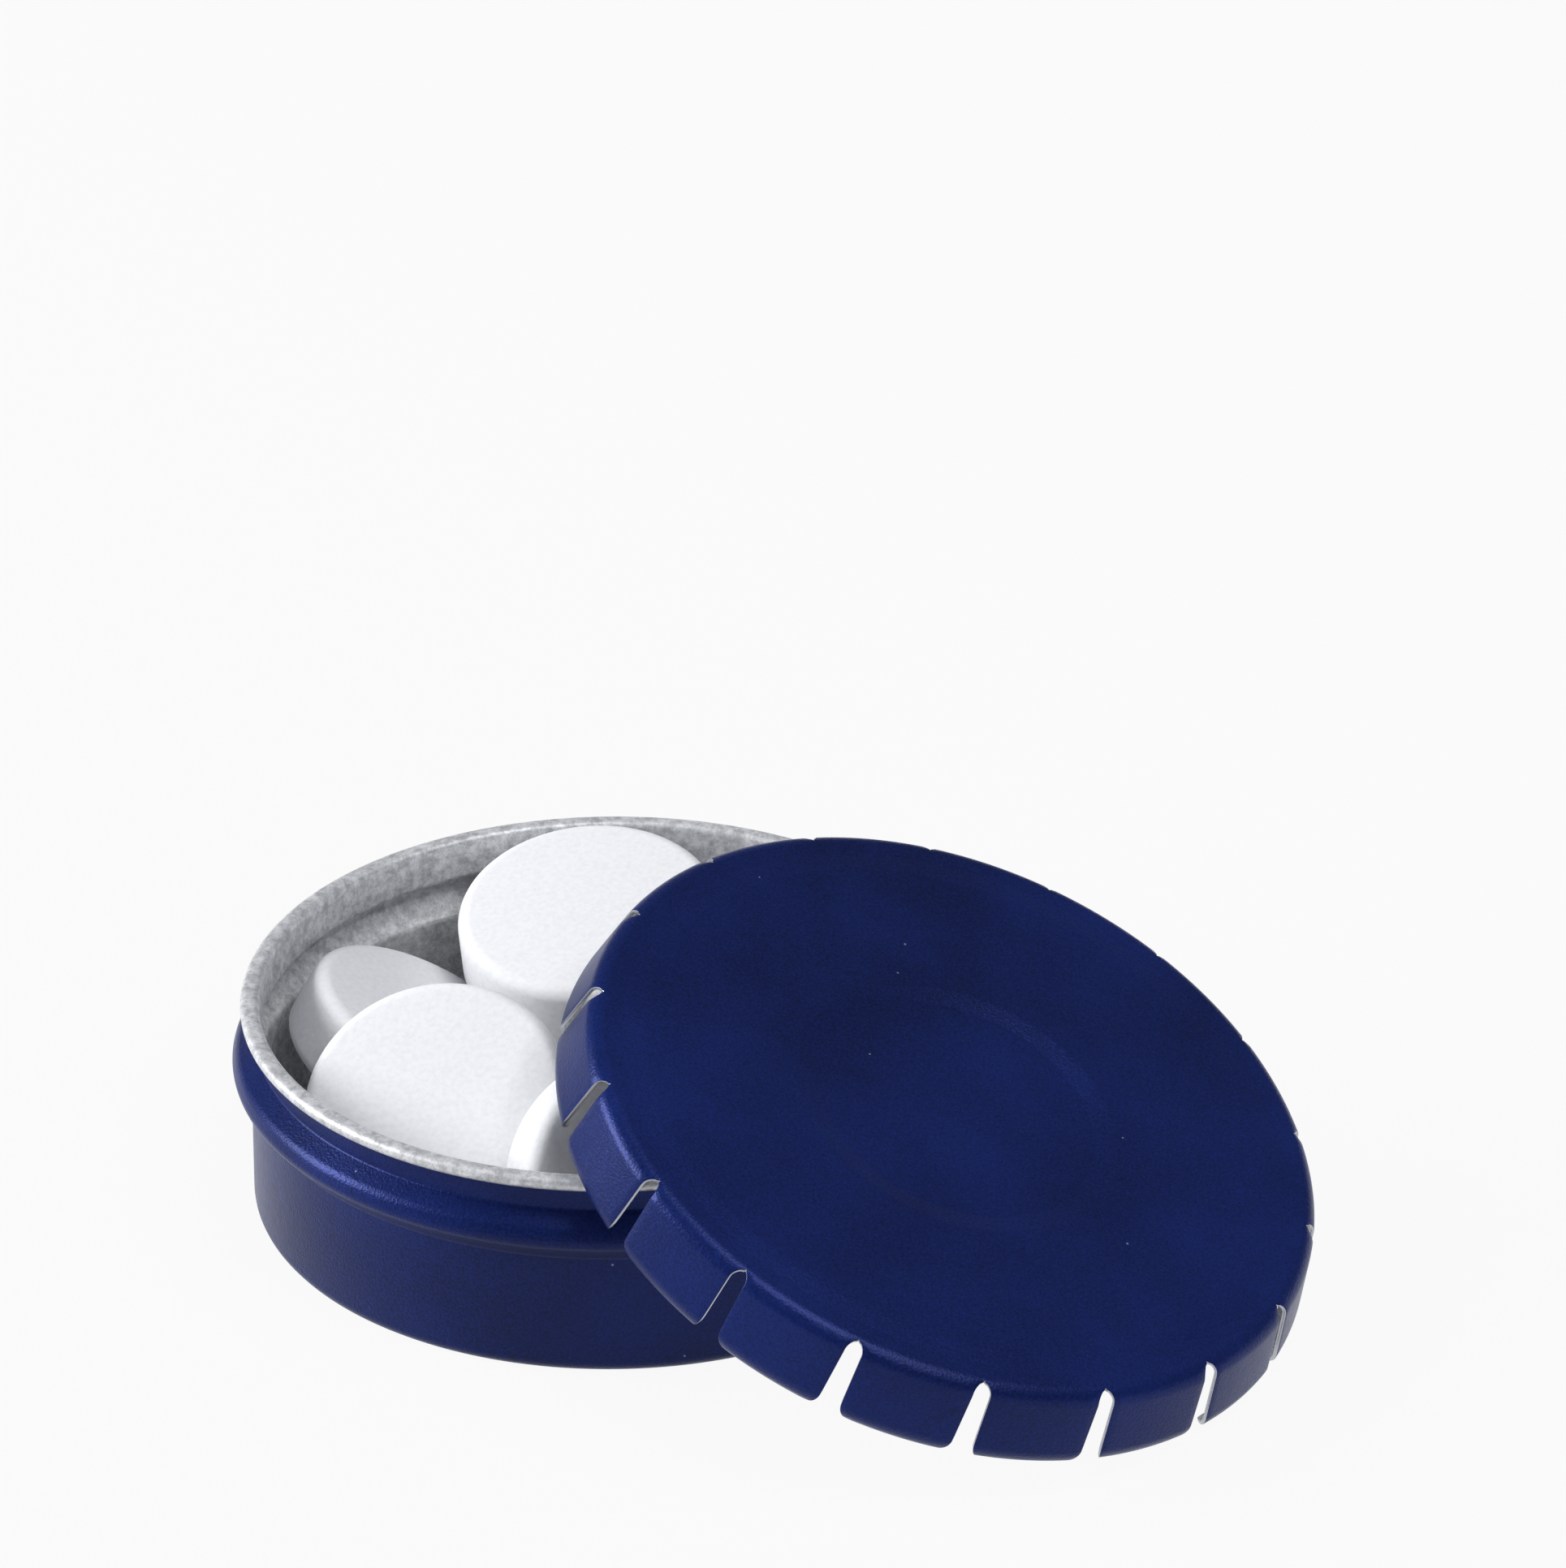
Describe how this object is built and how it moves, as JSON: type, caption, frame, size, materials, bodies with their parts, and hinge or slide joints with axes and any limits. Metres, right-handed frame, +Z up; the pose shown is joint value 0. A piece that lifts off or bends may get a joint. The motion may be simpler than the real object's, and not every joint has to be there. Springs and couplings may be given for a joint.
{
  "type": "mint tin",
  "caption": "Round tinplate box of mints with its click lid off: slotted spring-tab lid leaning on the curled rim of the beaded base, pressed mints loose inside.",
  "frame": {"origin": "centre of the flat underside of the base, on the table", "axes": "+Z up along the axis of the base, +X to the right in the picture, +Y away from the viewer"},
  "size_m": [0.0665, 0.0611, 0.0234],
  "materials": {
    "blue_lacquer": "satin navy lacquer on tinplate, bare metal at the cut edges, the curled rim and the inside",
    "mint": "matt pressed powder, near white"
  },
  "bodies": {
    "base": {"tin_base": "blue_lacquer", "mint_left": "mint", "mint_front": "mint"},
    "lid": {"click_lid": "blue_lacquer"},
    "back_mint": {"mint_back": "mint"},
    "front_left_mint": {"mint_front_left": "mint"},
    "right_mint": {"mint_right": "mint"},
    "floor_back_mint": {"mint_floor_back": "mint"},
    "floor_right_mint": {"mint_floor_right": "mint"}
  },
  "joints": [
    {"name": "lid_lift", "type": "slide", "parent": "base", "child": "lid", "axis": [0, 0, 1], "range_m": [0, 0.04]},
    {"name": "back_mint_lift", "type": "slide", "parent": "base", "child": "back_mint", "axis": [0, 0, 1], "range_m": [0, 0.03]},
    {"name": "front_left_mint_lift", "type": "slide", "parent": "base", "child": "front_left_mint", "axis": [-0.25, 0.433, 0.866], "range_m": [0, 0.03]},
    {"name": "right_mint_lift", "type": "slide", "parent": "base", "child": "right_mint", "axis": [0, 0, 1], "range_m": [0, 0.003]},
    {"name": "floor_back_mint_shift", "type": "slide", "parent": "base", "child": "floor_back_mint", "axis": [-0.9659, 0.2588, 0], "range_m": [0, 0.0025]},
    {"name": "floor_right_mint_shift", "type": "slide", "parent": "base", "child": "floor_right_mint", "axis": [-0.9659, -0.2588, 0], "range_m": [0, 0.0015]}
  ]
}
